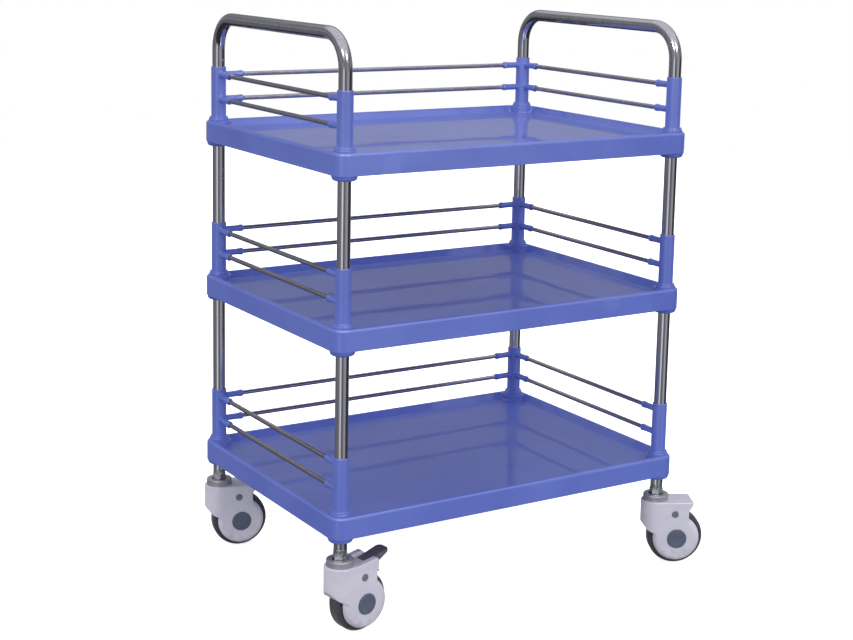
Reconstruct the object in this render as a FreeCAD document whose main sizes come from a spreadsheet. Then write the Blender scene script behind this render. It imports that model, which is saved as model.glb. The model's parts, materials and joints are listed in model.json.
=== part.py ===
import FreeCAD, Part
import math
import os
import Sketcher

# Three-tier instrument cart, in millimetres. +Z is up, +X runs along the long side, and the open side
# without rails faces -Y. The origin is on the floor, midway between the four posts.

doc = FreeCAD.newDocument("instrument_cart")


# ---------------------------------------------------------------- driving dimensions

DIMENSIONS = {
    # posts and handles
    "post_spacing_x": 656,
    "post_spacing_y": 456,
    "tube_radius": 11,
    "tube_wall": 1.2,
    "tube_foot_height": 147,
    "overall_height": 980,
    "handle_bend_radius": 55,
    "sliding_gap": 0.1,
    # tiers: height of the top of the post sleeves above the floor
    "lower_sleeve_top": 298,
    "middle_sleeve_top": 606,
    "upper_sleeve_top": 884,
    "sleeve_height": 95,
    # trays
    "tray_margin": 22,
    "tray_skirt": 36.5,
    "tray_lip": 8,
    "tray_recess": 12.5,
    "tray_wall_slope": 37,
    "tray_floor": 3,
    "tray_wall": 3,
    "tray_edge_round": 5,
    "tray_lip_round": 1.2,
    "tray_floor_round": 2.5,
    "boss_blend": 5,
    "corner_boss_radius": 22,
    "foot_radius": 20.5,
    "foot_drop": 8.5,
    "foot_flare": 3,
    "rib_width": 2.5,
    "rib_height": 12,
    # rail sockets on the posts
    "sleeve_radius": 13,
    "sleeve_chamfer": 0.8,
    "collar_round": 0.8,
    "arm_blend": 2,
    "collar_radius": 17.5,
    "collar_neck_radius": 16,
    "collar_step": 3.5,
    "upper_arm_drop": 14,
    "lower_arm_drop": 57,
    "arm_reach": 47,
    "arm_root_radius": 5.5,
    "arm_tip_radius": 6.5,
    "arm_nose": 3,
    "arm_nose_drop": 1.5,
    "arm_overlap": 2,
    "arm_flare": 12,
    "rail_radius": 4,
    "rail_socket_depth": 20,
    "rail_end_gap": 1,
    # caster stems and swivel bearings
    "stem_radius": 6,
    "stem_depth": 21,
    "stem_end_gap": 1,
    "neck_radius": 11,
    "hex_radius": 12,
    "hex_top": 139.5,
    "hex_turn": 15,
    "flange_height": 2,
    "flange_inset": 0.8,
    "plug_length": 30,
    "race_radius": 23,
    "race_height": 10.2,
    "race_gap": 0.3,
    "race_round": 1.5,
    "race_recess_radius": 13.5,
    "race_recess_depth": 4.5,
    # wheels
    "wheel_radius": 50,
    "trail": 36,
    "tyre_half_width": 13,
    "tyre_side_radius": 40.4,
    "tyre_bead_inset": 1,
    "tread_round": 6,
    "rim_radius": 36,
    "hub_rim_wall": 5,
    "hub_boss_wall": 6,
    "hub_web_half": 5,
    "bearing_radius": 11,
    "bearing_width": 7,
    "bearing_ring_wall": 2,
    "bearing_stop": 2,
    "shield_depth": 1,
    "press_gap": 0.02,
    "running_gap": 0.05,
    "axle_radius": 4,
    "axle_head_radius": 6.5,
    "axle_head_depth": 4.5,
    "axle_head_gap": 0.5,
    "axle_end_gap": 0.3,
    # caster housings, from the swivel axis and the floor
    "housing_half_width": 26.5,
    "housing_top": 118,
    "housing_top_round": 1.5,
    "head_front_z": 76,
    "chin_x": 16,
    "chin_z": 64,
    "chin_round": 3,
    "cheek_x": 5,
    "cheek_z": 59,
    "belly_x": 20,
    "belly_z": 40,
    "rear_x": 57,
    "rear_low_z": 60,
    "notch_z": 101,
    "tail_x": 66,
    "tail_z": 113,
    "tail_corner": 7,
    "cover_radius": 42,
    "cover_round": 9,
    "wheel_slot_radius": 53,
    "wheel_slot_half_width": 14.75,
    "hub_cap_radius": 17.3,
    "hub_cap_seat": 23.5,
    "hub_cap_face": 28,
    "hub_cap_round": 1.5,
    "plug_radius": 6,
    "plug_bevel": 0.6,
    "plug_x": 31.5,
    "plug_z": 96,
    # brake
    "braked_tail_x": 63.5,
    "brake_wall_rise": 6,
    "brake_rise_x": 20,
    "brake_bay_half_width": 14.6,
    "bay_floor_gap": 1,
    "bay_front_gap": 2,
    "bay_step_x": 50,
    "bay_step_run": 3,
    "bay_low_z": 90,
    "pedal_half_width": 13,
    "pedal_pivot_x": 48,
    "pedal_pivot_z": 111,
    "pedal_boss_radius": 5,
    "pedal_pin_radius": 2.5,
    "pedal_pin_half_length": 23.5,
    "pedal_tip_round": 8,
    "shoe_inset": 1.5,
    # rest heading of each caster's trail, counter-clockwise from +X, in degrees
    "back_left_heading": -12.6,
    "front_left_heading": 8.6,
    "back_right_heading": -5,
    "front_right_heading": -28,
}

sheet = doc.addObject("Spreadsheet::Sheet", "dims")
for row, (alias, amount) in enumerate(DIMENSIONS.items(), start=1):
    sheet.set(f"A{row}", alias)
    sheet.set(f"B{row}", str(amount))
    sheet.setAlias(f"B{row}", alias)
doc.recompute()


class Dim:
    """An amount together with the sheet formula that it comes from."""

    def __init__(self, amount, formula):
        self.amount = amount
        self.formula = formula

    def __add__(self, other):
        other = as_dim(other)
        return Dim(self.amount + other.amount, f"({self.formula} + {other.formula})")

    def __sub__(self, other):
        other = as_dim(other)
        return Dim(self.amount - other.amount, f"({self.formula} - {other.formula})")

    def __mul__(self, other):
        other = as_dim(other)
        return Dim(self.amount * other.amount, f"({self.formula} * {other.formula})")

    def __truediv__(self, other):
        other = as_dim(other)
        return Dim(self.amount / other.amount, f"({self.formula} / {other.formula})")

    def __neg__(self):
        return Dim(-self.amount, f"(-{self.formula})")


def as_dim(item):
    if isinstance(item, Dim):
        return item
    return Dim(float(item), f"({float(item)})")


class Sizes:
    """The sheet's cells, each read by its alias."""

    def __getattr__(self, alias):
        return Dim(float(getattr(sheet, alias)), f"dims.{alias}")


size = Sizes()


# ---------------------------------------------------------------- sketch and feature helpers

def bind(item, path, amount):
    item.setExpression(path, as_dim(amount).formula)


def new_body(label):
    body = doc.addObject("PartDesign::Body", label)
    body.Label = label
    return body


def new_sketch(body, name, plane="XY_Plane", shift=(0, 0, 0)):
    """A sketch on one of the body's origin planes, shifted along the sketch's own axes."""
    sketch = body.newObject("Sketcher::SketchObject", f"{body.Name}_{name}")
    support = next(item for item in body.Origin.OriginFeatures if item.Role == plane)
    sketch.AttachmentSupport = [(support, "")]
    sketch.MapMode = "FlatFace"
    for axis, amount in zip("xyz", shift):
        bind(sketch, f"AttachmentOffset.Base.{axis}", amount)
    return sketch


def hold(sketch, constraint, amount):
    index = sketch.addConstraint(constraint)
    sketch.setExpression(f"Constraints[{index}]", as_dim(amount).formula)


def place_point(sketch, geometry, end, x, y):
    """Ties one point of a sketch element to its distances from the sketch's origin."""
    for kind, axis, amount in (("DistanceX", -2, as_dim(x)), ("DistanceY", -1, as_dim(y))):
        if amount.amount == 0:
            sketch.addConstraint(Sketcher.Constraint("PointOnObject", geometry, end, axis))
        else:
            hold(sketch, Sketcher.Constraint(kind, -1, 1, geometry, end, amount.amount), amount)


def add_circle(sketch, x, y, radius):
    centre = FreeCAD.Vector(as_dim(x).amount, as_dim(y).amount, 0)
    circle = Part.Circle(centre, FreeCAD.Vector(0, 0, 1), as_dim(radius).amount)
    index = sketch.addGeometry(circle)
    place_point(sketch, index, 3, x, y)
    hold(sketch, Sketcher.Constraint("Radius", index, as_dim(radius).amount), radius)


def add_path(sketch, corners, arcs=None, closed=True):
    """Lines through the corners. arcs gives a centre and radius for the stretch after a corner."""
    arcs = arcs or {}
    points = [FreeCAD.Vector(as_dim(x).amount, as_dim(y).amount, 0) for x, y in corners]
    count = len(points) if closed else len(points) - 1
    ends = []
    for number in range(count):
        start = points[number]
        finish = points[(number + 1) % len(points)]
        if number in arcs:
            centre_x, centre_y, radius = arcs[number]
            centre = FreeCAD.Vector(as_dim(centre_x).amount, as_dim(centre_y).amount, 0)
            circle = Part.Circle(centre, FreeCAD.Vector(0, 0, 1), as_dim(radius).amount)
            first = math.atan2(start.y - centre.y, start.x - centre.x)
            last = math.atan2(finish.y - centre.y, finish.x - centre.x)
            counter_clockwise = (start - centre).cross(finish - centre).z > 0
            span = (first, last) if counter_clockwise else (last, first)
            index = sketch.addGeometry(Part.ArcOfCircle(circle, *span))
            ends.append((index, 1, 2) if counter_clockwise else (index, 2, 1))
            hold(sketch, Sketcher.Constraint("Radius", index, as_dim(radius).amount), radius)
        else:
            index = sketch.addGeometry(Part.LineSegment(start, finish))
            ends.append((index, 1, 2))
        place_point(sketch, index, ends[-1][1], *corners[number])
    for number in range(count if closed else count - 1):
        index, _, finish = ends[number]
        following, start, _ = ends[(number + 1) % count]
        sketch.addConstraint(Sketcher.Constraint("Coincident", index, finish, following, start))
    if not closed:
        index, _, finish = ends[-1]
        place_point(sketch, index, finish, *corners[-1])


def add_rectangle(sketch, low_x, low_y, high_x, high_y):
    add_path(sketch, [(low_x, low_y), (high_x, low_y), (high_x, high_y), (low_x, high_y)])


def add_rounded_rectangle(sketch, reach_x, reach_y, radius):
    """A rectangle centred on the sketch's origin, with quarter-circle corners."""
    corners = []
    arcs = {}
    for way_x, way_y in ((1, -1), (1, 1), (-1, 1), (-1, -1)):
        beside = (reach_x * way_x, (reach_y - radius) * way_y)
        above = ((reach_x - radius) * way_x, reach_y * way_y)
        arcs[len(corners)] = ((reach_x - radius) * way_x, (reach_y - radius) * way_y, radius)
        corners += [beside, above] if way_x == way_y else [above, beside]
    add_path(sketch, corners, arcs)


def extrude(body, sketch, length, kind="Pad", symmetric=False, reverse=False, taper=None):
    feature = body.newObject(f"PartDesign::{kind}", f"{sketch.Name}_{kind.lower()}")
    feature.Profile = sketch
    feature.SideType = "Symmetric" if symmetric else "One side"
    feature.Reversed = reverse
    bind(feature, "Length", length)
    if taper is not None:
        bind(feature, "TaperAngle", taper)
    doc.recompute()
    return feature


def revolve(body, sketch, axis, kind="Revolution"):
    feature = body.newObject(f"PartDesign::{kind}", f"{sketch.Name}_{kind.lower()}")
    feature.Profile = sketch
    feature.ReferenceAxis = (sketch, [axis])
    feature.Angle = 360
    doc.recompute()
    return feature


def soften(body, name, amount, wanted, kind="Fillet"):
    """Rounds or chamfers the edges of the body so far that the test picks."""
    base = body.Tip
    names = [f"Edge{number}" for number, edge in enumerate(base.Shape.Edges, start=1) if wanted(edge)]
    feature = body.newObject(f"PartDesign::{kind}", f"{body.Name}_{name}")
    feature.Base = (base, names)
    bind(feature, "Radius" if kind == "Fillet" else "Size", amount)
    doc.recompute()
    return feature


def settle(body, x=0, y=0, z=0, heading=0):
    """Places a finished body: its origin's position and its turn about the vertical."""
    about_vertical = FreeCAD.Rotation(FreeCAD.Vector(0, 0, 1), 1)
    body.Placement = FreeCAD.Placement(FreeCAD.Vector(0, 0, 0), about_vertical)
    for axis, amount in zip("xyz", (x, y, z)):
        bind(body, f"Placement.Base.{axis}", amount)
    bind(body, "Placement.Rotation.Angle", heading)


def middle(edge):
    return edge.valueAt((edge.FirstParameter + edge.LastParameter) / 2)


def at_height(edge, height, slack=0.01):
    box = edge.BoundBox
    return abs(box.ZMin - height) < slack and abs(box.ZMax - height) < slack


half_x = size.post_spacing_x / 2
half_y = size.post_spacing_y / 2
PAST = 1  # how far a cut runs on beyond the face that it opens

# corner name: side of the cart along X and along Y
CORNERS = {
    "back_left": (-1, 1),
    "front_left": (-1, -1),
    "back_right": (1, 1),
    "front_right": (1, -1),
}
TIERS = {
    "upper": size.upper_sleeve_top,
    "middle": size.middle_sleeve_top,
    "lower": size.lower_sleeve_top,
}


def post_distance(spot):
    """How far a point is from the nearest post's axis."""
    return math.hypot(abs(spot.x) - half_x.amount, abs(spot.y) - half_y.amount)


def add_post_circles(sketch, radius):
    for side_x, side_y in CORNERS.values():
        add_circle(sketch, half_x * side_x, half_y * side_y, radius)


# ---------------------------------------------------------------- end frames

def make_end_frame(label, side):
    """One stainless tube: two posts joined by a rounded handle at the top."""
    body = new_body(label)
    crown = size.overall_height - size.tube_radius
    bend = size.handle_bend_radius
    foot = size.tube_foot_height

    section = new_sketch(body, "section", shift=(0, 0, foot))
    add_circle(section, 0, -half_y, size.tube_radius)
    add_circle(section, 0, -half_y, size.tube_radius - size.tube_wall)

    route = new_sketch(body, "route", "YZ_Plane")
    add_path(
        route,
        [
            (-half_y, foot),
            (-half_y, crown - bend),
            (bend - half_y, crown),
            (half_y - bend, crown),
            (half_y, crown - bend),
            (half_y, foot),
        ],
        arcs={
            1: (bend - half_y, crown - bend, bend),
            3: (half_y - bend, crown - bend, bend),
        },
        closed=False,
    )
    tube = body.newObject("PartDesign::AdditivePipe", f"{label}_tube")
    tube.Profile = section
    tube.Spine = (route, [])
    doc.recompute()
    settle(body, x=half_x * side)
    return body


# ---------------------------------------------------------------- trays

def make_tray_foot(body, corner, side_x, side_y):
    """The rounded foot under one corner of a tray, flared where it meets the skirt."""
    foot = new_sketch(body, f"foot_{corner}", "XZ_Plane", shift=(half_x * side_x, 0, -half_y * side_y))
    top = -size.tray_skirt
    flare = size.foot_flare
    radius = size.foot_radius
    round_off = size.foot_drop - flare
    bottom = top - size.foot_drop
    add_path(
        foot,
        [
            (as_dim(0), top),
            (radius + flare, top),
            (radius, top - flare),
            (radius - round_off, bottom),
            (as_dim(0), bottom),
        ],
        arcs={
            1: (radius + flare, top - flare, flare),
            2: (radius - round_off, top - flare, round_off),
        },
    )
    revolve(body, foot, "V_Axis")


def make_tray(label, sleeve_top):
    """A moulded tray: skirt, sloped inner wall, floor with ribs under it, and four post bosses.
    Its own zero height is the top of the rim."""
    body = new_body(label)
    outer_x = half_x + size.tray_margin
    outer_y = half_y + size.tray_margin
    skirt = size.tray_skirt
    recess = size.tray_recess
    floor_under = recess + size.tray_floor

    block = new_sketch(body, "block")
    add_rectangle(block, -outer_x, -outer_y, outer_x, outer_y)
    extrude(body, block, skirt, reverse=True)
    soften(body, "corners", size.tray_margin, lambda edge: edge.BoundBox.ZLength > 1)

    hollow = new_sketch(body, "hollow")
    inner_x = outer_x - size.tray_lip
    inner_y = outer_y - size.tray_lip
    add_rectangle(hollow, -inner_x, -inner_y, inner_x, inner_y)
    extrude(body, hollow, recess, "Pocket", taper=-size.tray_wall_slope)

    underside = new_sketch(body, "underside", shift=(0, 0, -skirt))
    under_x = outer_x - size.tray_wall
    under_y = outer_y - size.tray_wall
    add_rectangle(underside, -under_x, -under_y, under_x, under_y)
    extrude(body, underside, skirt - floor_under, "Pocket", reverse=True)

    bosses = new_sketch(body, "bosses")
    add_post_circles(bosses, size.corner_boss_radius)
    extrude(body, bosses, skirt, reverse=True)

    def on_boss_wall(edge):
        spot = middle(edge)
        slanted = edge.BoundBox.ZLength > recess.amount / 2 and spot.z > -recess.amount
        return slanted and abs(post_distance(spot) - size.corner_boss_radius.amount) < 0.5

    soften(body, "boss_blends", size.boss_blend, on_boss_wall)
    soften(body, "floor_round", size.tray_floor_round, lambda edge: at_height(edge, -recess.amount))

    def on_rim(edge, outer):
        spot = middle(edge)
        across = min(outer_x.amount - abs(spot.x), outer_y.amount - abs(spot.y))
        return at_height(edge, 0) and (across < size.tray_lip.amount - 0.5) == outer

    soften(body, "lip_round", size.tray_lip_round, lambda edge: on_rim(edge, False))
    soften(body, "rim_round", size.tray_edge_round, lambda edge: on_rim(edge, True))

    for corner, (side_x, side_y) in CORNERS.items():
        make_tray_foot(body, corner, side_x, side_y)
    trim = new_sketch(body, "trim", shift=(0, 0, -skirt))
    beyond_x = outer_x + size.foot_radius
    beyond_y = outer_y + size.foot_radius
    add_rectangle(trim, -beyond_x, -beyond_y, beyond_x, beyond_y)
    add_rounded_rectangle(trim, outer_x, outer_y, size.tray_margin)
    extrude(body, trim, size.foot_drop + PAST, "Pocket")

    long_ribs = new_sketch(body, "long_ribs", shift=(0, 0, -floor_under))
    rib_half = size.rib_width / 2
    for place in (-0.5, 0, 0.5):
        centre = under_y * place
        add_rectangle(long_ribs, -under_x, centre - rib_half, under_x, centre + rib_half)
    extrude(body, long_ribs, size.rib_height, reverse=True)
    cross_ribs = new_sketch(body, "cross_ribs", shift=(0, 0, -floor_under))
    for place in (-0.6, -0.2, 0.2, 0.6):
        centre = under_x * place
        add_rectangle(cross_ribs, centre - rib_half, -under_y, centre + rib_half, under_y)
    extrude(body, cross_ribs, size.rib_height, reverse=True)

    holes = new_sketch(body, "holes")
    add_post_circles(holes, size.tube_radius + size.sliding_gap)
    extrude(body, holes, skirt + size.foot_drop + PAST, "Pocket")
    settle(body, z=sleeve_top - size.sleeve_height)
    return body


# ---------------------------------------------------------------- rail sockets

def make_rail_socket(label, side_x, side_y, sleeve_top, with_back_arm):
    """A sleeve round a post with pairs of arms that hold the rails' ends.
    Its own zero height is the top of the sleeve."""
    body = new_body(label)
    height = size.sleeve_height
    for name, radius, top in (
        ("sleeve", size.sleeve_radius, as_dim(0)),
        ("collar_neck", size.collar_neck_radius, height - size.collar_step * 2),
        ("collar", size.collar_radius, height - size.collar_step),
    ):
        ring = new_sketch(body, name, shift=(0, 0, -top))
        add_circle(ring, 0, 0, radius)
        extrude(body, ring, height - top, reverse=True)
    soften(body, "lip", size.sleeve_chamfer, lambda edge: at_height(edge, 0), "Chamfer")

    directions = [("side_arm", "YZ_Plane", -side_y)]
    if with_back_arm:
        directions.append(("back_arm", "XZ_Plane", -side_x))
    for arm, plane, way in directions:
        for level, drop in (("high", size.upper_arm_drop), ("low", size.lower_arm_drop)):
            outline = new_sketch(body, f"{arm}_{level}", plane, shift=(0, -drop, 0))
            reach = size.arm_reach
            socket_floor = reach - size.rail_socket_depth
            bore = size.rail_radius + size.running_gap
            inside = size.tube_radius - size.arm_overlap
            profile = [
                (inside, 0),
                (inside, size.arm_root_radius),
                (reach - size.arm_flare, size.arm_root_radius),
                (reach - size.arm_nose, size.arm_tip_radius),
                (reach, size.arm_tip_radius - size.arm_nose_drop),
                (reach, bore),
                (socket_floor, bore),
                (socket_floor, 0),
            ]
            add_path(outline, [(along * way, across) for along, across in profile])
            revolve(body, outline, "H_Axis")

    def on_arm_root(edge):
        spots = [edge.valueAt(at) for at in (edge.FirstParameter, edge.LastParameter)] + [middle(edge)]
        sleeve = size.sleeve_radius.amount
        on_sleeve = all(abs(math.hypot(spot.x, spot.y) - sleeve) < 0.02 for spot in spots)
        return on_sleeve and 1 < edge.BoundBox.ZLength < 12

    soften(body, "arm_blends", size.arm_blend, on_arm_root)

    def on_collar_edge(edge):
        radius = math.hypot(middle(edge).x, middle(edge).y)
        at_neck = at_height(edge, (size.collar_step * 2 - height).amount)
        at_collar = at_height(edge, (size.collar_step - height).amount)
        on_neck = at_neck and abs(radius - size.collar_neck_radius.amount) < 0.1
        return on_neck or (at_collar and abs(radius - size.collar_radius.amount) < 0.1)

    soften(body, "collar_rounds", size.collar_round, on_collar_edge)

    bore = new_sketch(body, "post_bore")
    add_circle(bore, 0, 0, size.tube_radius + size.sliding_gap)
    extrude(body, bore, height + PAST, "Pocket")
    settle(body, x=half_x * side_x, y=half_y * side_y, z=sleeve_top)
    return body


# ---------------------------------------------------------------- rails

def make_rail_pair(label, plane, across, spacing, sleeve_top):
    """Two parallel rods, one above the other, between the arms of two sockets."""
    body = new_body(label)
    reach_in = size.arm_reach - size.rail_socket_depth + size.rail_end_gap
    ends = new_sketch(body, "ends", plane)
    for drop in (size.upper_arm_drop, size.lower_arm_drop):
        add_circle(ends, across, -drop, size.rail_radius)
    extrude(body, ends, spacing - reach_in * 2, symmetric=True)
    settle(body, z=sleeve_top)
    return body


# ---------------------------------------------------------------- caster stems, fixed to the frame

def make_stem_plugs(label):
    """Four stems: a plug in each tube's foot, a grooved collar, a hexagon and the bolt the caster turns on."""
    body = new_body(label)
    hex_bottom = size.housing_top + size.race_gap + size.race_height - size.race_recess_depth
    stem_bottom = size.housing_top - size.stem_depth + size.stem_end_gap
    foot = size.tube_foot_height
    flange_bottom = foot - size.flange_height
    levels = (
        ("plug", size.tube_radius - size.tube_wall - size.sliding_gap, foot, size.plug_length),
        ("flange", size.tube_radius - size.flange_inset, flange_bottom, size.flange_height),
        ("neck", size.neck_radius, size.hex_top, flange_bottom - size.hex_top),
        ("bolt", size.stem_radius, stem_bottom, hex_bottom - stem_bottom),
    )
    for name, radius, bottom, length in levels:
        sketch = new_sketch(body, name, shift=(0, 0, bottom))
        add_post_circles(sketch, radius)
        extrude(body, sketch, length)
    hexagons = new_sketch(body, "hexagons", shift=(0, 0, hex_bottom))
    for side_x, side_y in CORNERS.values():
        turns = [math.radians(60 * corner + size.hex_turn.amount) for corner in range(6)]
        add_path(hexagons, [
            (half_x * side_x + size.hex_radius * math.cos(turn),
             half_y * side_y + size.hex_radius * math.sin(turn))
            for turn in turns
        ])
    extrude(body, hexagons, size.hex_top - hex_bottom)
    settle(body)
    return body


def make_swivel_races(label):
    """Four steel bearing rings on top of the caster housings, each with a recess round the hexagon."""
    body = new_body(label)
    bottom = size.housing_top + size.race_gap
    ring = new_sketch(body, "ring", shift=(0, 0, bottom))
    add_post_circles(ring, size.race_radius)
    extrude(body, ring, size.race_height)
    top = bottom + size.race_height
    soften(body, "ring_round", size.race_round, lambda edge: at_height(edge, top.amount))
    recess = new_sketch(body, "recess", shift=(0, 0, top - size.race_recess_depth))
    add_post_circles(recess, size.race_recess_radius)
    extrude(body, recess, size.race_recess_depth + PAST, "Pocket", reverse=True)
    bore = new_sketch(body, "bore", shift=(0, 0, top))
    add_post_circles(bore, size.stem_radius + size.running_gap)
    extrude(body, bore, size.race_height + PAST, "Pocket")
    settle(body)
    return body


# ---------------------------------------------------------------- casters
# Each caster part is drawn with the swivel axis as Z, the floor at zero and the wheel trailing to +X.

def axle_sketch(body, name):
    """A sketch through the axle: its x is the distance from the axle, its y runs along the axle."""
    return new_sketch(body, name, shift=(size.trail, 0, size.wheel_radius))


def shape_housing_sides(body, braked):
    """The housing's outside: its side view cut to its rounded plan, with its top edges softened."""
    half = size.housing_half_width
    top = size.housing_top
    tail = size.braked_tail_x if braked else size.tail_x
    outline = [
        (-half, top),
        (-half, size.head_front_z),
        (-size.chin_x, size.chin_z),
        (-size.cheek_x, size.cheek_z),
        (size.belly_x, size.belly_z),
        (size.rear_x, size.rear_low_z),
        (size.rear_x, size.notch_z),
        (tail, size.tail_z),
        (tail, top),
    ]
    if braked:
        outline += [(size.rear_x, top + size.brake_wall_rise), (size.brake_rise_x, top)]
    side = new_sketch(body, "side", "XZ_Plane")
    add_path(side, outline)
    extrude(body, side, half * 2, symmetric=True)

    plan = new_sketch(body, "plan")
    corner = size.tail_corner
    around = size.housing_top
    add_rectangle(plan, -around, -around, around, around)
    add_path(
        plan,
        [
            (-half, as_dim(0)),
            (as_dim(0), -half),
            (tail - corner, -half),
            (tail, corner - half),
            (tail, half - corner),
            (tail - corner, half),
            (as_dim(0), half),
        ],
        arcs={
            0: (0, 0, half),
            2: (tail - corner, corner - half, corner),
            4: (tail - corner, half - corner, corner),
            6: (0, 0, half),
        },
    )
    extrude(body, plan, top + size.brake_wall_rise + PAST, "Pocket", reverse=True)

    def on_top_rim(edge):
        spot = middle(edge)
        on_side = abs(abs(spot.y) - half.amount) < 0.01 and spot.x < size.rear_x.amount
        return edge.BoundBox.ZMin > top.amount - 0.01 and (on_side or spot.x < 0 or not braked)

    soften(body, "top_rim", size.housing_top_round, on_top_rim)

    def on_chin(edge):
        return at_height(edge, size.chin_z.amount) or at_height(edge, size.cheek_z.amount)

    soften(body, "chin", size.chin_round, on_chin)


def add_wheel_cover(body):
    """The round covers on both sides of the wheel, and the slot between them that the wheel turns in."""
    half = size.housing_half_width
    radius = size.cover_radius
    bend = size.cover_round
    cover = axle_sketch(body, "cover")
    add_path(
        cover,
        [
            (as_dim(0), -half),
            (radius - bend, -half),
            (radius, bend - half),
            (radius, half - bend),
            (radius - bend, half),
            (as_dim(0), half),
        ],
        arcs={
            1: (radius - bend, bend - half, bend),
            3: (radius - bend, half - bend, bend),
        },
    )
    revolve(body, cover, "V_Axis")
    slot = new_sketch(body, "slot", "XZ_Plane")
    add_circle(slot, size.trail, size.wheel_radius, size.wheel_slot_radius)
    extrude(body, slot, size.wheel_slot_half_width * 2, "Pocket", symmetric=True)


def cut_seats(body):
    """Seats for the axle with its heads, the hub caps, the cover plugs and the stem."""
    beyond = size.housing_half_width + PAST
    seat = size.hub_cap_seat
    head_seat = seat - size.axle_head_depth
    cap_hole = size.hub_cap_radius + size.running_gap
    head_hole = size.axle_head_radius + size.axle_head_gap
    axle_hole = size.axle_radius + size.running_gap
    seats = axle_sketch(body, "seats")
    add_path(seats, [
        (as_dim(0), -beyond),
        (cap_hole, -beyond),
        (cap_hole, -seat),
        (head_hole, -seat),
        (head_hole, -head_seat),
        (axle_hole, -head_seat),
        (axle_hole, head_seat),
        (head_hole, head_seat),
        (head_hole, seat),
        (cap_hole, seat),
        (cap_hole, beyond),
        (as_dim(0), beyond),
    ])
    revolve(body, seats, "V_Axis", "Groove")

    plug_seats = new_sketch(body, "plug_seats", shift=(size.plug_x, 0, size.plug_z))
    for way in (-1, 1):
        add_rectangle(plug_seats, as_dim(0), seat * way, size.plug_radius + size.running_gap, beyond * way)
    revolve(body, plug_seats, "V_Axis", "Groove")

    stem = new_sketch(body, "stem", shift=(0, 0, size.housing_top))
    add_circle(stem, 0, 0, size.stem_radius + size.running_gap)
    extrude(body, stem, size.stem_depth, "Pocket")


def cut_brake_bay(body):
    """The bay that the brake lever works in, open at the top and the rear, and the holes for its pin."""
    above = size.housing_top + size.brake_wall_rise + PAST
    behind = size.tail_x + PAST
    floor = size.pedal_pivot_z - size.pedal_boss_radius - size.bay_floor_gap
    front = size.pedal_pivot_x - size.pedal_boss_radius - size.bay_front_gap
    bay_width = size.brake_bay_half_width * 2
    bay = new_sketch(body, "bay", "XZ_Plane")
    add_path(bay, [
        (front, above),
        (front, floor),
        (size.bay_step_x, floor),
        (size.bay_step_x + size.bay_step_run, size.bay_low_z),
        (behind, size.bay_low_z),
        (behind, above),
    ])
    extrude(body, bay, bay_width, "Pocket", symmetric=True)
    deck = new_sketch(body, "deck", "XZ_Plane")
    add_rectangle(deck, size.brake_rise_x - PAST, size.housing_top, behind, above)
    extrude(body, deck, bay_width, "Pocket", symmetric=True)
    pin = new_sketch(body, "pin", "XZ_Plane")
    add_circle(pin, size.pedal_pivot_x, size.pedal_pivot_z, size.pedal_pin_radius)
    extrude(body, pin, size.pedal_pin_half_length * 2, "Pocket", symmetric=True)


def make_housing(label, braked):
    """The moulded swivel head with its two wheel covers, and walls beside the lever on a braked one."""
    body = new_body(label)
    shape_housing_sides(body, braked)
    add_wheel_cover(body)
    cut_seats(body)
    if braked:
        cut_brake_bay(body)
    return body


def make_wheel_part(label, outline, arcs=None):
    """A body turned about the axle from an outline of distance from the axle and place along it."""
    body = new_body(label)
    sketch = axle_sketch(body, "outline")
    add_path(sketch, outline, arcs)
    revolve(body, sketch, "V_Axis")
    return body


def make_tyre(label):
    radius = size.wheel_radius
    half = size.tyre_half_width
    bend = size.tread_round
    bead = half - size.tyre_bead_inset
    return make_wheel_part(
        label,
        [
            (size.rim_radius, -bead),
            (size.tyre_side_radius, -half),
            (radius - bend, -half),
            (radius, bend - half),
            (radius, half - bend),
            (radius - bend, half),
            (size.tyre_side_radius, half),
            (size.rim_radius, bead),
        ],
        {
            2: (radius - bend, bend - half, bend),
            4: (radius - bend, half - bend, bend),
        },
    )


def make_hub(label):
    rim = size.rim_radius
    half = size.tyre_half_width - size.tyre_bead_inset
    shoulder = half - size.bearing_width
    seat = size.bearing_radius + size.press_gap
    stop = seat - size.bearing_stop
    boss = size.bearing_radius + size.hub_boss_wall
    web = size.hub_web_half
    lip = rim - size.hub_rim_wall
    return make_wheel_part(label, [
        (seat, -half),
        (boss, -half),
        (boss, -web),
        (lip, -web),
        (lip, -half),
        (rim, -half),
        (rim, half),
        (lip, half),
        (lip, web),
        (boss, web),
        (boss, half),
        (seat, half),
        (seat, shoulder),
        (stop, shoulder),
        (stop, -shoulder),
        (seat, -shoulder),
    ])


def make_pair_of_turned_parts(label, outline, place_x, place_z, arcs=None):
    """Two mirrored solids turned about a line parallel to the axle."""
    body = new_body(label)
    sketch = new_sketch(body, "outline", shift=(place_x, 0, place_z))
    for way in (-1, 1):
        facing = [(out, along * way) for out, along in outline]
        facing_arcs = {}
        for corner, (out, along, radius) in (arcs or {}).items():
            facing_arcs[corner] = (out, along * way, radius)
        add_path(sketch, facing, facing_arcs)
    revolve(body, sketch, "V_Axis")
    return body


def make_bearings(label):
    outer = size.tyre_half_width - size.tyre_bead_inset
    inner = outer - size.bearing_width
    bore = size.axle_radius + size.running_gap
    ring = size.bearing_ring_wall
    shield = outer - size.shield_depth
    outline = [
        (bore, inner),
        (size.bearing_radius, inner),
        (size.bearing_radius, outer),
        (size.bearing_radius - ring, outer),
        (size.bearing_radius - ring, shield),
        (bore + ring, shield),
        (bore + ring, outer),
        (bore, outer),
    ]
    return make_pair_of_turned_parts(label, outline, size.trail, size.wheel_radius)


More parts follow.
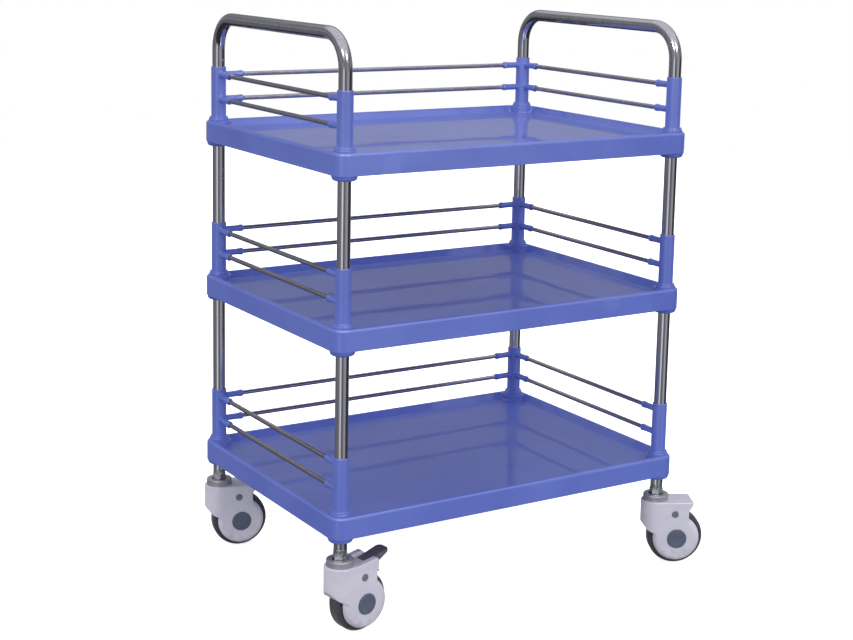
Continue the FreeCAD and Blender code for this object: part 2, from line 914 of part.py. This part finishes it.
def make_axle(label):
    end = size.hub_cap_seat - size.axle_end_gap
    head_seat = size.hub_cap_seat - size.axle_head_depth
    return make_wheel_part(label, [
        (as_dim(0), -end),
        (size.axle_head_radius, -end),
        (size.axle_head_radius, -head_seat),
        (size.axle_radius, -head_seat),
        (size.axle_radius, head_seat),
        (size.axle_head_radius, head_seat),
        (size.axle_head_radius, end),
        (as_dim(0), end),
    ])


def make_hub_caps(label):
    face = size.hub_cap_face
    edge = size.hub_cap_radius
    bend = size.hub_cap_round
    outline = [
        (as_dim(0), size.hub_cap_seat),
        (edge, size.hub_cap_seat),
        (edge, face - bend),
        (edge - bend, face),
        (as_dim(0), face),
    ]
    arcs = {2: (edge - bend, face - bend, bend)}
    return make_pair_of_turned_parts(label, outline, size.trail, size.wheel_radius, arcs)


def make_cover_plugs(label):
    face = size.housing_half_width
    bevel = size.plug_bevel
    outline = [
        (as_dim(0), size.hub_cap_seat),
        (size.plug_radius, size.hub_cap_seat),
        (size.plug_radius, face),
        (size.plug_radius - bevel, face + bevel),
        (as_dim(0), face + bevel),
    ]
    return make_pair_of_turned_parts(label, outline, size.plug_x, size.plug_z)


def make_brake_pedal(label):
    """The foot lever: a boss on its pin, a sloping foot plate and a shoe just above the tyre."""
    body = new_body(label)
    pivot_x = size.pedal_pivot_x
    pivot_z = size.pedal_pivot_z
    width = size.pedal_half_width * 2

    boss = new_sketch(body, "boss", "XZ_Plane")
    add_circle(boss, pivot_x, pivot_z, size.pedal_boss_radius)
    extrude(body, boss, width, symmetric=True)
    for name, outline, breadth in (
        ("plate", PEDAL_PLATE, width),
        ("shoe", PEDAL_SHOE, width - size.shoe_inset * 2),
    ):
        sketch = new_sketch(body, name, "XZ_Plane")
        add_path(sketch, [(pivot_x + along, pivot_z + up) for along, up in outline])
        extrude(body, sketch, breadth, symmetric=True)
    bore = new_sketch(body, "bore", "XZ_Plane")
    add_circle(bore, pivot_x, pivot_z, size.pedal_pin_radius + size.running_gap)
    extrude(body, bore, width + PAST, "Pocket", symmetric=True)

    tip_x = pivot_x.amount + min(along for along, up in PEDAL_TIP)

    def on_tip_corner(edge):
        across = abs(abs(middle(edge).y) - size.pedal_half_width.amount) < 0.01
        return across and middle(edge).x > tip_x and edge.BoundBox.YLength < 0.01

    soften(body, "tip_round", size.pedal_tip_round, on_tip_corner)
    return body


def make_pedal_pin(label):
    body = new_body(label)
    section = new_sketch(body, "section", "XZ_Plane")
    add_circle(section, size.pedal_pivot_x, size.pedal_pivot_z, size.pedal_pin_radius)
    extrude(body, section, size.pedal_pin_half_length * 2, symmetric=True)
    return body


CASTER_HEADINGS = {
    "back_left": size.back_left_heading,
    "front_left": size.front_left_heading,
    "back_right": size.back_right_heading,
    "front_right": size.front_right_heading,
}
BRAKED_CORNERS = ("front_left", "back_right")

# Outlines of the brake lever, as distances from its pivot: along +X and up.
PEDAL_TIP = [(44.5, 14), (44, 17.5)]
PEDAL_PLATE = [(-2, 0), (7, -5), (18, -1.5), (26, 3), (34, 8.5), *PEDAL_TIP, (36, 16.5), (-1, 5), (-4, 2.5)]
PEDAL_SHOE = [(3, -3), (12, -12), (18, -14.8), (25.5, -19), (22, -11), (17, -1), (8, 1)]


def make_caster(corner):
    side_x, side_y = CORNERS[corner]
    braked = corner in BRAKED_CORNERS
    bodies = [
        make_housing(f"{corner}_fork_housing", braked),
        make_tyre(f"{corner}_tyre"),
        make_hub(f"{corner}_wheel_hub"),
        make_bearings(f"{corner}_wheel_bearings"),
        make_axle(f"{corner}_axle"),
        make_hub_caps(f"{corner}_hub_caps"),
        make_cover_plugs(f"{corner}_cover_plugs"),
    ]
    if braked:
        bodies.append(make_brake_pedal(f"{corner}_brake_pedal"))
        bodies.append(make_pedal_pin(f"{corner}_brake_pin"))
    for body in bodies:
        settle(body, half_x * side_x, half_y * side_y, 0, CASTER_HEADINGS[corner])
    return bodies


# ---------------------------------------------------------------- assembly

def make_tier(tier, sleeve_top):
    bodies = [make_tray(f"{tier}_tray", sleeve_top)]
    for corner, (side_x, side_y) in CORNERS.items():
        at_back = side_y > 0
        label = f"{tier}_{corner}_rail_socket"
        bodies.append(make_rail_socket(label, side_x, side_y, sleeve_top, at_back))
    bodies.append(make_rail_pair(f"{tier}_back_rails", "YZ_Plane", half_y, size.post_spacing_x, sleeve_top))
    for side, way in (("left", -1), ("right", 1)):
        label = f"{tier}_{side}_rails"
        bodies.append(make_rail_pair(label, "XZ_Plane", half_x * way, size.post_spacing_y, sleeve_top))
    return bodies


parts = [make_end_frame("left_end_frame", -1), make_end_frame("right_end_frame", 1)]
for tier, sleeve_top in TIERS.items():
    parts += make_tier(tier, sleeve_top)
parts += [make_stem_plugs("caster_stem_plugs"), make_swivel_races("swivel_races")]
for corner in CORNERS:
    parts += make_caster(corner)

doc.recompute()
failed = [item.Name for item in doc.Objects if {"Invalid", "Error"} & set(item.State)]
if failed:
    raise RuntimeError(f"objects that failed: {failed}")
for part in parts:
    if part.Shape.isNull() or not part.Shape.isValid() or not part.Shape.Solids:
        raise RuntimeError(f"no valid solid in {part.Label}")

os.makedirs("parts", exist_ok=True)
for part in parts:
    part.Shape.exportStep(f"parts/{part.Label}.step")
    box = part.Shape.BoundBox
    print(
        f"{part.Label}: {len(part.Shape.Solids)} solid(s), {part.Shape.Volume / 1000:.2f} cm3, "
        f"x {box.XMin:.1f}..{box.XMax:.1f} y {box.YMin:.1f}..{box.YMax:.1f} "
        f"z {box.ZMin:.1f}..{box.ZMax:.1f}"
    )
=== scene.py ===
import json
import math

import bpy
from mathutils import Matrix, Vector


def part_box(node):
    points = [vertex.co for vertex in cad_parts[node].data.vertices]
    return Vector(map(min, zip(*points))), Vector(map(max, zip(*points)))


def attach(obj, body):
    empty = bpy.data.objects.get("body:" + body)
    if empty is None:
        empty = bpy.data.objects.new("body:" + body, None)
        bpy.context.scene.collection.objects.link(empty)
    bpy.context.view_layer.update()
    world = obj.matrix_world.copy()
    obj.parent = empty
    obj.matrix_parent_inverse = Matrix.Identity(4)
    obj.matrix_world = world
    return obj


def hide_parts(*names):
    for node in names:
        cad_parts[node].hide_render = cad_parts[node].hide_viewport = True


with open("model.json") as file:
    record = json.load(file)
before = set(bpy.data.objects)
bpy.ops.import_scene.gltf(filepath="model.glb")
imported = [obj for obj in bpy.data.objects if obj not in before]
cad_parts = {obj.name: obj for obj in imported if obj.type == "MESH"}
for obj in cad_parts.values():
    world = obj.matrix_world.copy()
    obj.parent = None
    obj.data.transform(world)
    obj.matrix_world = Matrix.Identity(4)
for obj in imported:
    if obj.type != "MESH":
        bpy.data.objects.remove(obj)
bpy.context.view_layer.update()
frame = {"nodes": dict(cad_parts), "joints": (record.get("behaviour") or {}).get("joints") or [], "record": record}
nodes = frame["nodes"]
scene = bpy.context.scene

CORNERS = ("back_left", "front_left", "back_right", "front_right")
MM = 0.001

# numbers of the colour sockets on a Mix node
MIX_FIRST, MIX_SECOND, MIX_RESULT = 6, 7, 2

# likeness of the plain and the softened normal, on an even surface and at a sharp edge
EVEN_LIKENESS, SHARP_LIKENESS = 0.97, 0.72


# ---------------------------------------------------------------- material helpers

class Shader:
    """A new node material with a Principled shader, and short calls for the nodes before it."""

    def __init__(self, name, **sockets):
        self.material = bpy.data.materials.new(name)
        self.material.use_nodes = True
        self.tree = self.material.node_tree
        self.surface = self.tree.nodes["Principled BSDF"]
        self.place = self.tree.nodes.new("ShaderNodeTexCoord").outputs["Object"]
        for socket, amount in sockets.items():
            self.surface.inputs[socket.replace("_", " ")].default_value = amount

    def add(self, kind, **settings):
        node = self.tree.nodes.new(kind)
        for key, value in settings.items():
            setattr(node, key, value)
        return node

    def feed(self, socket, source):
        if hasattr(source, "is_output"):
            self.tree.links.new(source, socket)
        else:
            socket.default_value = source

    def stretched(self, scale, turn=(0, 0, 0)):
        """Object coordinates, turned and then scaled along each axis."""
        mapping = self.add("ShaderNodeMapping")
        self.feed(mapping.inputs["Vector"], self.place)
        mapping.inputs["Rotation"].default_value = [math.radians(angle) for angle in turn]
        mapping.inputs["Scale"].default_value = scale
        return mapping.outputs["Vector"]

    def noise(self, scale, detail=3, roughness=0.5, vector=None, distortion=0):
        node = self.add("ShaderNodeTexNoise")
        self.feed(node.inputs["Vector"], vector or self.place)
        amounts = {
            "Scale": scale,
            "Detail": detail,
            "Roughness": roughness,
            "Distortion": distortion,
        }
        for socket, amount in amounts.items():
            node.inputs[socket].default_value = amount
        return node.outputs["Fac"]

    def spread(self, source, low, high, to_low=0.0, to_high=1.0):
        """The source's stretch from low to high, spread over to_low to to_high."""
        node = self.add("ShaderNodeMapRange", interpolation_type="SMOOTHSTEP")
        self.feed(node.inputs["Value"], source)
        limits = {"From Min": low, "From Max": high, "To Min": to_low, "To Max": to_high}
        for socket, amount in limits.items():
            node.inputs[socket].default_value = amount
        return node.outputs["Result"]

    def math(self, operation, first, second):
        node = self.add("ShaderNodeMath", operation=operation)
        self.feed(node.inputs[0], first)
        self.feed(node.inputs[1], second)
        return node.outputs[0]

    def blend(self, amount, first, second):
        """A colour from first to second."""
        node = self.add("ShaderNodeMix", data_type="RGBA")
        self.feed(node.inputs["Factor"], amount)
        self.feed(node.inputs[MIX_FIRST], first)
        self.feed(node.inputs[MIX_SECOND], second)
        return node.outputs[MIX_RESULT]

    def edges(self, radius):
        """1 near a sharp edge and 0 on an even surface, with the softened normal beside it."""
        bevel = self.add("ShaderNodeBevel", samples=4)
        bevel.inputs["Radius"].default_value = radius
        plain = self.add("ShaderNodeNewGeometry").outputs["Normal"]
        compare = self.add("ShaderNodeVectorMath", operation="DOT_PRODUCT")
        self.feed(compare.inputs[0], bevel.outputs["Normal"])
        self.feed(compare.inputs[1], plain)
        likeness = compare.outputs["Value"]
        return self.spread(likeness, EVEN_LIKENESS, SHARP_LIKENESS), bevel.outputs["Normal"]

    def bump(self, height, distance, normal=None):
        node = self.add("ShaderNodeBump")
        self.feed(node.inputs["Height"], height)
        node.inputs["Distance"].default_value = distance
        if normal is not None:
            self.feed(node.inputs["Normal"], normal)
        return node.outputs["Normal"]

    def finish(self, colour=None, roughness=None, normal=None):
        sources = {"Base Color": colour, "Roughness": roughness, "Normal": normal}
        for socket, source in sources.items():
            if source is not None:
                self.feed(self.surface.inputs[socket], source)
        return self.material


def rgb(red, green, blue):
    """A screen colour of 0 to 255 as the linear colour that shaders take, by the sRGB rule."""
    shares = [part / 255 for part in (red, green, blue)]
    linear = [
        share / 12.92 if share <= 0.04045 else ((share + 0.055) / 1.055) ** 2.4
        for share in shares
    ]
    return (*linear, 1.0)


# ---------------------------------------------------------------- materials

def blue_plastic():
    """Glossy moulded ABS: flow mottling, slow waves, orange peel, fine scratches, and paler edges that are a
    painted highlight.
    """
    edge_radius = 1.2 * MM
    wave_height = 0.8 * MM
    peel_height = 0.012 * MM
    edge_highlight_strength = 0.45
    scratch_headings = (17, 68, 131)
    scratch_stretch = (9, 900, 9)
    scratch_roughness = 0.25

    shader = Shader(
        "blue_plastic",
        Coat_Weight=0.75,
        Coat_Roughness=0.02,
        Coat_IOR=1.5,
        Specular_IOR_Level=0.65,
    )
    mottle = shader.noise(5, detail=5, roughness=0.6, distortion=0.8)
    grain = shader.noise(900, detail=2)
    edge, soft = shader.edges(edge_radius)
    colour = shader.blend(shader.spread(mottle, 0.3, 0.7), rgb(76, 97, 187), rgb(84, 106, 196))
    colour = shader.blend(shader.spread(grain, 0.3, 0.7, 0, 0.08), colour, rgb(112, 128, 205))
    # painted highlight: the sharp edges are lightened in the base colour, towards a paler blue
    painted_edge_highlight = shader.math("MULTIPLY", edge, edge_highlight_strength)
    colour = shader.blend(painted_edge_highlight, colour, rgb(126, 142, 210))
    scratches = []
    for heading in scratch_headings:
        lines = shader.stretched(scratch_stretch, turn=(0, 0, heading))
        scratches.append(shader.spread(shader.noise(1, detail=1, vector=lines), 0.69, 0.78))
    worn = shader.math("MAXIMUM", scratches[0], scratches[1])
    worn = shader.math("MAXIMUM", worn, scratches[2])
    roughness = shader.math(
        "ADD",
        shader.spread(mottle, 0.2, 0.8, 0.44, 0.52),
        shader.math("MULTIPLY", worn, scratch_roughness),
    )
    normal = shader.bump(shader.noise(6, detail=1.5), wave_height, normal=soft)
    normal = shader.bump(shader.noise(420, detail=1), peel_height, normal=normal)
    material = shader.finish(colour, roughness, normal)
    shader.feed(shader.surface.inputs["Coat Normal"], normal)
    return material


def steel(name, dark, light, roughness, line_scale, line_depth, streak, metal=1.0, coat=0.0):
    """Drawn or polished steel: fine lines, small pits, and slow changes in the polish.

    line_scale says how closely the lines are packed along each axis, and streak how much
    rougher the worst places are.
    """
    pit_strength = 0.3
    cloud_depth = 0.3
    shader = Shader(name, Metallic=metal, Coat_Weight=coat, Coat_Roughness=0.05)
    bands = shader.noise(1, detail=4, vector=shader.stretched(line_scale))
    cloud = shader.noise(26, detail=3, roughness=0.6)
    pits = shader.spread(shader.noise(1500, detail=1), 0.72, 0.8)
    colour = shader.blend(shader.spread(bands, 0.25, 0.75), dark, light)
    colour = shader.blend(shader.math("MULTIPLY", pits, pit_strength), colour, rgb(90, 90, 96))
    polish = shader.math("ADD", roughness, shader.spread(bands, 0.3, 0.75, 0, streak))
    polish = shader.math("ADD", polish, shader.spread(cloud, 0.35, 0.75, 0, streak))
    height = shader.math("ADD", bands, shader.math("MULTIPLY", cloud, cloud_depth))
    return shader.finish(colour, polish, shader.bump(height, line_depth))


def housing_plastic():
    """Satin light nylon: faint flow lines, spark texture, scuffs and a little grime low down."""
    grime_start, grime_full = 50 * MM, 8 * MM
    most_grime = 0.3
    scuff_paleness, scuff_roughness = 0.12, 0.2
    texture_depth = 0.02 * MM

    shader = Shader(
        "housing_plastic", Specular_IOR_Level=0.45, Coat_Weight=0.15, Coat_Roughness=0.25
    )
    flow = shader.noise(14, detail=5, roughness=0.6, distortion=1.2)
    texture = shader.noise(1600, detail=2)
    colour = shader.blend(shader.spread(flow, 0.3, 0.7), rgb(197, 195, 207), rgb(205, 203, 214))
    scuff_lines = shader.stretched((60, 700, 60), turn=(25, 15, 40))
    scuffs = shader.spread(shader.noise(1, detail=2, vector=scuff_lines), 0.66, 0.76)
    height = shader.add("ShaderNodeSeparateXYZ")
    shader.feed(height.inputs[0], shader.place)
    low = shader.spread(height.outputs["Z"], grime_start, grime_full)
    patches = shader.spread(shader.noise(90, detail=4), 0.4, 0.65, 0, most_grime)
    grime = shader.math("MULTIPLY", low, patches)
    rubbed = shader.math("MULTIPLY", scuffs, scuff_paleness)
    colour = shader.blend(rubbed, colour, rgb(150, 148, 160))
    colour = shader.blend(grime, colour, rgb(120, 114, 110))
    roughness = shader.math(
        "ADD",
        shader.spread(flow, 0.2, 0.8, 0.36, 0.46),
        shader.math("MULTIPLY", scuffs, scuff_roughness),
    )
    return shader.finish(colour, roughness, shader.bump(texture, texture_depth))


def moulded(name, dark, light, roughness, texture_depth):
    """A plain moulded plastic: mottled colour, spark texture and paler edges that are a painted highlight."""
    edge_radius = 0.6 * MM
    edge_highlight_strength = 0.4
    edge_highlight_greying = 0.35
    roughness_range = 0.12
    shader = Shader(name, Specular_IOR_Level=0.4)
    mottle = shader.noise(60, detail=5, roughness=0.65)
    texture = shader.noise(1300, detail=2)
    edge, soft = shader.edges(edge_radius)
    colour = shader.blend(shader.spread(mottle, 0.3, 0.7), dark, light)
    # painted highlight: the sharp edges are lightened in the base colour, towards a pale grey
    pale = shader.blend(edge_highlight_greying, light, rgb(170, 170, 178))
    colour = shader.blend(shader.math("MULTIPLY", edge, edge_highlight_strength), colour, pale)
    rough = shader.spread(mottle, 0.25, 0.75, roughness, roughness + roughness_range)
    return shader.finish(colour, rough, shader.bump(texture, texture_depth, normal=soft))


def tyre_rubber():
    """Soft tread: matt, with rolling dust, fine grit and a faint bloom."""
    most_dust = 0.45
    grit_depth = 0.06 * MM
    bloom_share = 2.0
    shader = Shader("tyre_rubber", Specular_IOR_Level=0.35, Sheen_Weight=0.25, Sheen_Roughness=0.5)
    bloom = shader.noise(40, detail=5, roughness=0.7)
    grit = shader.noise(700, detail=3)
    dust = shader.spread(shader.noise(160, detail=4, roughness=0.7), 0.52, 0.68, 0, most_dust)
    colour = shader.blend(shader.spread(bloom, 0.3, 0.7), rgb(52, 51, 59), rgb(64, 63, 72))
    colour = shader.blend(dust, colour, rgb(92, 89, 90))
    height = shader.math("ADD", grit, shader.math("MULTIPLY", bloom, bloom_share))
    roughness = shader.spread(grit, 0.3, 0.7, 0.48, 0.66)
    return shader.finish(colour, roughness, shader.bump(height, grit_depth))


def paint(obj, material):
    if obj.material_slots:
        for slot in obj.material_slots:
            slot.material = material
    else:
        obj.data.materials.append(material)


MATERIALS = {
    "blue_plastic": blue_plastic(),
    "polished_tube": steel(
        "polished_tube",
        rgb(176, 176, 184),
        rgb(205, 205, 210),
        roughness=0.09,
        line_scale=(420, 420, 5),
        line_depth=0.005 * MM,
        streak=0.05,
    ),
    "rail_rod": steel(
        "rail_rod",
        rgb(170, 168, 176),
        rgb(180, 178, 186),
        roughness=0.16,
        line_scale=(90, 90, 90),
        line_depth=0.002 * MM,
        streak=0.05,
    ),
    "zinc_steel": steel(
        "zinc_steel",
        rgb(150, 156, 158),
        rgb(190, 196, 198),
        roughness=0.24,
        line_scale=(300, 300, 300),
        line_depth=0.04 * MM,
        streak=0.14,
    ),
    "bearing_steel": steel(
        "bearing_steel",
        rgb(150, 148, 156),
        rgb(168, 166, 174),
        roughness=0.42,
        line_scale=(60, 60, 900),
        line_depth=0.03 * MM,
        streak=0.12,
        metal=0.6,
        coat=0.6,
    ),
    "housing_plastic": housing_plastic(),
    "hub_plastic": moulded(
        "hub_plastic",
        rgb(150, 150, 158),
        rgb(164, 164, 172),
        roughness=0.5,
        texture_depth=0.03 * MM,
    ),
    "tyre_rubber": tyre_rubber(),
    "cap_plastic": moulded(
        "cap_plastic",
        rgb(80, 88, 108),
        rgb(88, 96, 116),
        roughness=0.48,
        texture_depth=0.03 * MM,
    ),
    "plug_plastic": moulded(
        "plug_plastic",
        rgb(96, 104, 114),
        rgb(106, 114, 124),
        roughness=0.5,
        texture_depth=0.03 * MM,
    ),
    "pedal_plastic": moulded(
        "pedal_plastic",
        rgb(84, 82, 90),
        rgb(96, 94, 103),
        roughness=0.42,
        texture_depth=0.05 * MM,
    ),
}
SLOT_OF = {part["node"]: part["material_slot"] for part in frame["record"]["subparts"]}
for name, node in nodes.items():
    paint(node, MATERIALS[SLOT_OF[name]])


# ---------------------------------------------------------------- pieces modelled here

def add_piece(name, mesh, body, slot):
    piece = bpy.data.objects.new(name, mesh)
    scene.collection.objects.link(piece)
    paint(piece, MATERIALS[slot])
    for polygon in mesh.polygons:
        polygon.use_smooth = True
    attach(piece, body)
    return piece


def moulded_mesh(node, voxel, passes, keep):
    """The node's shape, its edges melted as a moulding's are: remeshed, smoothed, thinned out."""
    source = bpy.data.objects.new("moulding", nodes[node].data.copy())
    scene.collection.objects.link(source)
    remesh = source.modifiers.new("remesh", "REMESH")
    remesh.mode = "VOXEL"
    remesh.voxel_size = voxel
    smooth = source.modifiers.new("smooth", "SMOOTH")
    smooth.factor = 0.5
    smooth.iterations = passes
    thin = source.modifiers.new("thin", "DECIMATE")
    thin.ratio = keep
    bpy.context.view_layer.update()
    melted = source.evaluated_get(bpy.context.evaluated_depsgraph_get())
    mesh = bpy.data.meshes.new_from_object(melted)
    mesh.materials.clear()
    bpy.data.objects.remove(source)
    return mesh


def turned_mesh(name, profile, middle, axle, steps=144):
    """A ring turned about the axle.

    profile is closed, and each point is its distance from the axle and its place along it.
    """
    across = axle.cross(Vector((0, 0, 1)))
    count = len(profile)
    points = []
    for step in range(steps):
        angle = math.tau * step / steps
        outward = across * math.cos(angle) + Vector((0, 0, 1)) * math.sin(angle)
        points += [middle + outward * out + axle * along for out, along in profile]
    faces = []
    for step in range(steps):
        here, there = step * count, (step + 1) % steps * count
        for spot in range(count):
            after = (spot + 1) % count
            faces.append((here + spot, here + after, there + after, there + spot))
    mesh = bpy.data.meshes.new(name)
    mesh.from_pydata(points, [], faces)
    mesh.validate()
    mesh.update()
    return mesh


def middle_of(node):
    low, high = (Vector(corner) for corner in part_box(node))
    return (low + high) / 2


JOINTS = {joint["name"]: joint for joint in frame["joints"]}


def tyre_profile():
    """Half from the bead to the tread's middle, then mirrored, in metres.

    The side has a groove near the bead, and the tread has rounded shoulders and a mould line.
    """
    # distances from the axle, in millimetres
    bead, groove, shoulder, tread = 36.02, 40.4, 44.0, 49.98
    groove_lip, groove_floor = groove - 1, groove - 0.6
    side_end, bend_start = shoulder - 2, shoulder - 0.4
    mould_line = tread + 0.02
    # distances from the tyre's middle, in millimetres
    half = 13.0
    bead_half, lip_half, floor_half, bend_half = half - 1, half - 0.25, half - 0.55, half - 0.02
    flat_half, line_half = 3.0, 0.4
    bend = 6.0
    bend_steps = 8

    outline = [
        (bead, bead_half),
        (groove_lip, lip_half),
        (groove_floor, floor_half),
        (groove, half),
        (side_end, half),
        (bend_start, bend_half),
    ]
    for step in range(bend_steps + 1):
        angle = math.radians(90 - 90 / bend_steps * step)
        out = tread - bend + bend * math.cos(angle)
        along = half - bend + bend * math.sin(angle)
        outline.append((out, along))
    outline += [(tread, flat_half), (tread, line_half), (mould_line, 0.0)]
    mirrored = [(out, -along) for out, along in reversed(outline[:-1])]
    return [(out * MM, along * MM) for out, along in outline + mirrored]


for corner in CORNERS:
    across = Vector(JOINTS[f"{corner}_wheel_spin"]["axis"]).normalized()
    housing = add_piece(
        f"{corner}_housing_moulding",
        moulded_mesh(f"{corner}_fork_housing", voxel=0.75 * MM, passes=12, keep=0.35),
        f"{corner}_caster",
        "housing_plastic",
    )
    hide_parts(f"{corner}_fork_housing")
    tyre = add_piece(
        f"{corner}_tyre_tread",
        turned_mesh(
            f"{corner}_tyre_tread", tyre_profile(), middle_of(f"{corner}_tyre"), across
        ),
        f"{corner}_wheel",
        "tyre_rubber",
    )
    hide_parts(f"{corner}_tyre")
    if f"{corner}_brake_pedal" in nodes:
        lever = add_piece(
            f"{corner}_lever_moulding",
            moulded_mesh(f"{corner}_brake_pedal", voxel=0.45 * MM, passes=5, keep=0.4),
            f"{corner}_pedal",
            "pedal_plastic",
        )
        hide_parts(f"{corner}_brake_pedal")


# ---------------------------------------------------------------- camera and lights

# fitted to the posts, sleeves and wheels, with the pitch downwards and the yaw from +Y to +X
CAMERA_PLACE = Vector((-1.5793, -2.4535, 1.1316))
CAMERA_YAW = math.radians(32.225)
CAMERA_PITCH = math.radians(9.864)
CAMERA_ROLL = math.radians(1.137)
LENS_MM = 70.33
SENSOR_MM = 36
PICTURE_SHIFT = -0.12

forward = Vector((
    math.sin(CAMERA_YAW) * math.cos(CAMERA_PITCH),
    math.cos(CAMERA_YAW) * math.cos(CAMERA_PITCH),
    -math.sin(CAMERA_PITCH),
))
level = Vector((math.cos(CAMERA_YAW), -math.sin(CAMERA_YAW), 0))
upright = level.cross(forward)
right = level * math.cos(CAMERA_ROLL) + upright * math.sin(CAMERA_ROLL)
up = upright * math.cos(CAMERA_ROLL) - level * math.sin(CAMERA_ROLL)
facing = Matrix((right, up, -forward)).transposed().to_4x4()

camera_data = bpy.data.cameras.new("camera")
camera_data.lens = LENS_MM
camera_data.sensor_width = SENSOR_MM
camera_data.shift_y = PICTURE_SHIFT
camera = bpy.data.objects.new("camera", camera_data)
camera.matrix_world = Matrix.Translation(CAMERA_PLACE) @ facing
scene.collection.objects.link(camera)
scene.camera = camera

AIM = Vector((0, 0, 0.5))
TOWARDS_CAMERA = Vector((-math.sin(CAMERA_YAW), -math.cos(CAMERA_YAW), 0))


def around(angle, distance, height):
    """A point at that height, so many degrees right of the line from the cart to the camera."""
    turn = math.radians(angle)
    outward = TOWARDS_CAMERA * math.cos(turn) + level * math.sin(turn)
    return outward * distance + Vector((0, 0, height))


def add_softbox(name, place, side, power):
    """A square light of that side, in metres, that faces the middle of the cart."""
    data = bpy.data.lights.new(name, "AREA")
    data.shape = "RECTANGLE"
    data.size = side
    data.size_y = side
    data.energy = power
    light = bpy.data.objects.new(name, data)
    light.location = place
    light.rotation_euler = (AIM - place).to_track_quat("-Z", "Y").to_euler()
    scene.collection.objects.link(light)
    return light


# two broad lights that shine on the cart but aren't mirrored in it
key = add_softbox("key", around(48, distance=2.8, height=1.7), side=1.3, power=8)
overhead = add_softbox("overhead", Vector((0.2, 0.3, 3.0)), side=2.2, power=6)
for light in (key, overhead):
    light.visible_glossy = False
# two small lamps that are only seen mirrored
for name, angle in (("left_spot", -21), ("right_spot", 34)):
    spot = add_softbox(name, around(angle, distance=2.7, height=2.5), side=0.28, power=110)
    spot.visible_diffuse = False


# ---------------------------------------------------------------- world and floor

BLUE_TINT = 1.06


def fill_ramp(ramp, stops):
    """Sets a colour ramp to faintly blue grey levels at positions from 0 to 1."""
    while len(ramp.elements) < len(stops):
        ramp.elements.new(0.5)
    for element, (position, _) in zip(ramp.elements, stops):
        element.position = position
    for element, (_, amount) in zip(ramp.elements, stops):
        element.color = (amount, amount, amount * BLUE_TINT, 1)


# degrees right of the line from the cart to the camera, and the brightness mirrored from there
AROUND_STOPS = (
    (-180, 0.4), (-160, 0.3), (-140, 0.2), (-118, 0.18), (-70, 0.23), (-50, 0.26), (-36, 0.5),
    (-25, 1.15), (-16, 1.1), (-8, 0.28), (0, 0.17), (14, 0.15), (26, 0.35), (40, 0.45), (50, 0.55),
    (64, 0.5), (74, 0.08), (104, 0.035), (120, 0.05), (132, 0.25), (165, 0.3), (180, 0.4),
)
# rise of the direction, from -1 straight down to 1 straight up, and for each rise
# the brightness mirrored, the share that AROUND_STOPS has in it, and the light on the cart
ABOVE_STOPS = ((-0.42, 0.04), (0.1, 0.34), (0.2, 0.26), (0.42, 0.24), (0.66, 0.85))
SHARE_STOPS = ((-0.42, 0), (-0.33, 1), (0.0, 1), (0.08, 0))
GLOW_STOPS = ((-0.1, 0.4), (0.05, 1.65), (0.5, 1.4), (0.8, 0.7))


def build_world():
    """White behind the cart, an even glow on it, and grey and dark bands in its reflections."""
    world = bpy.data.worlds.new("studio")
    scene.world = world
    world.use_nodes = True
    tree = world.node_tree
    tree.nodes.clear()
    new = tree.nodes.new
    link = tree.links.new

    def blend(amount, first, second):
        node = new("ShaderNodeMix")
        node.data_type = "RGBA"
        link(amount, node.inputs["Factor"])
        for number, source in ((MIX_FIRST, first), (MIX_SECOND, second)):
            socket = node.inputs[number]
            if hasattr(source, "is_output"):
                link(source, socket)
            else:
                socket.default_value = (source, source, source, 1)
        return node.outputs[MIX_RESULT]

    def ramp_over(source, stops):
        node = new("ShaderNodeValToRGB")
        link(source, node.inputs["Fac"])
        fill_ramp(node.color_ramp, stops)
        return node.outputs["Color"]

    direction = new("ShaderNodeTexCoord").outputs["Generated"]
    turned = new("ShaderNodeMapping")
    turned.vector_type = "VECTOR"
    turned.inputs["Rotation"].default_value = (0, 0, CAMERA_YAW + math.pi / 2)
    link(direction, turned.inputs["Vector"])
    gradient = new("ShaderNodeTexGradient")
    gradient.gradient_type = "RADIAL"
    link(turned.outputs["Vector"], gradient.inputs["Vector"])
    around_positions = [(0.5 + angle / 360, amount) for angle, amount in AROUND_STOPS]
    bands = ramp_over(gradient.outputs["Fac"], around_positions)
    parts = new("ShaderNodeSeparateXYZ")
    link(direction, parts.inputs[0])
    rise = new("ShaderNodeMapRange")
    link(parts.outputs["Z"], rise.inputs["Value"])
    rise.inputs["From Min"].default_value = -1
    above, share, glow = (
        ramp_over(rise.outputs["Result"], [((1 + height) / 2, amount) for height, amount in stops])
        for stops in (ABOVE_STOPS, SHARE_STOPS, GLOW_STOPS)
    )
    mirrored = blend(share, above, bands)
    ray = new("ShaderNodeLightPath")
    lit = blend(ray.outputs["Is Glossy Ray"], glow, mirrored)
    seen = blend(ray.outputs["Is Camera Ray"], lit, 1)
    background = new("ShaderNodeBackground")
    link(seen, background.inputs["Color"])
    output = new("ShaderNodeOutputWorld")
    link(background.outputs[0], output.inputs["Surface"])


def build_floor():
    """A plain pale floor that glows a little of its own, so that it is nearly as white as the world behind it."""
    radius = 6.0
    sides = 96
    own_glow = 0.72

    angles = [math.tau * side / sides for side in range(sides)]
    rim = [(radius * math.cos(angle), radius * math.sin(angle), 0) for angle in angles]
    mesh = bpy.data.meshes.new("floor")
    mesh.from_pydata(rim, [], [tuple(range(sides))])
    floor = bpy.data.objects.new("floor", mesh)
    scene.collection.objects.link(floor)
    shader = Shader("floor", Roughness=0.9, Specular_IOR_Level=0.1)
    speckle = shader.spread(shader.noise(30, detail=4), 0.3, 0.7)
    shader.finish(shader.blend(speckle, rgb(250, 250, 251), rgb(253, 253, 254)))
    shader.surface.inputs["Emission Color"].default_value = (1, 1, 1, 1)
    shader.surface.inputs["Emission Strength"].default_value = own_glow
    paint(floor, shader.material)
    floor.visible_glossy = False
    floor.visible_diffuse = False


build_world()
build_floor()
scene.view_settings.view_transform = "Standard"
scene.view_settings.look = "None"
